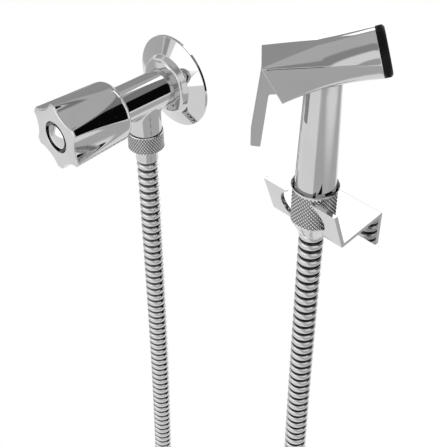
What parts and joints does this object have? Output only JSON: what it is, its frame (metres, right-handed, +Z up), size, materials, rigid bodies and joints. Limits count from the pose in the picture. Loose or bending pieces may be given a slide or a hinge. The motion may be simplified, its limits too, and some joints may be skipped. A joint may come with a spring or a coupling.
{
  "type": "handheld bidet shower",
  "caption": "Wall valve with a fluted knob, a ribbed metal hose, and a trigger spray handset that rests in a folded wall hook.",
  "frame": {"origin": "the middle of the valve's inlet on the wall plane", "axes": "+X along the wall from the valve to the hook, +Y into the wall, +Z up"},
  "size_m": [0.2017, 0.1093, 0.6992],
  "materials": {
    "chrome_cast": "polished chrome over cast brass",
    "chrome_sheet": "polished chrome over pressed sheet",
    "chrome_knurl": "chrome with a diamond knurl",
    "chrome_hose": "ribbed chrome metal strip",
    "brass": "bare turned brass",
    "steel": "plain steel",
    "rubber": "black rubber",
    "ceramic": "lapped white ceramic",
    "black_plastic": "black moulded plastic",
    "spray_plate": "black moulded plastic with spray holes"
  },
  "bodies": {
    "root": {"escutcheon": "chrome_sheet", "valve_body": "chrome_cast", "seat_gasket": "rubber", "fixed_disc": "ceramic", "cartridge_housing": "brass", "housing_o_ring": "rubber", "valve_end_nut": "chrome_knurl", "valve_end_washer": "rubber", "valve_end_ferrule": "chrome_cast", "cone_nut": "chrome_knurl", "handset_end_washer": "rubber", "handset_end_ferrule": "chrome_cast", "hose": "chrome_hose", "handset_body": "chrome_cast", "trigger_pin": "steel", "gland_nut": "brass", "return_spring": "steel", "spray_ring": "black_plastic", "spray_face": "spray_plate", "spray_face_seal": "rubber", "wall_hook": "chrome_sheet"},
    "knob": {"knob": "chrome_cast", "knob_cap": "chrome_cast", "knob_screw": "steel", "spindle": "brass", "spindle_clip": "steel", "moving_disc": "ceramic", "spindle_o_ring": "rubber"},
    "trigger": {"trigger": "chrome_cast"},
    "plunger": {"plunger": "steel", "plunger_seal": "rubber", "plunger_o_ring": "rubber"}
  },
  "joints": [
    {"name": "knob_turn", "type": "hinge", "parent": "root", "child": "knob", "pos_m": [0, 0, 0], "axis": [0, -1, 0], "range_deg": [0, 90]},
    {"name": "trigger_pull", "type": "hinge", "parent": "root", "child": "trigger", "pos_m": [0.1261, -0.0446, 0.0764], "axis": [0.6845, -0.729, 0], "range_deg": [0, 14], "stiffness_Nm_per_rad": 0.2, "springref_deg": -17.19, "deforming": ["return_spring"]},
    {"name": "plunger_slide", "type": "slide", "parent": "root", "child": "plunger", "axis": [0.729, 0.6845, 0], "range_m": [0, 0.0013]}
  ],
  "couplings": [
    {"joint": "plunger_slide", "follows": "trigger_pull", "m_per_rad": 0.0052}
  ]
}
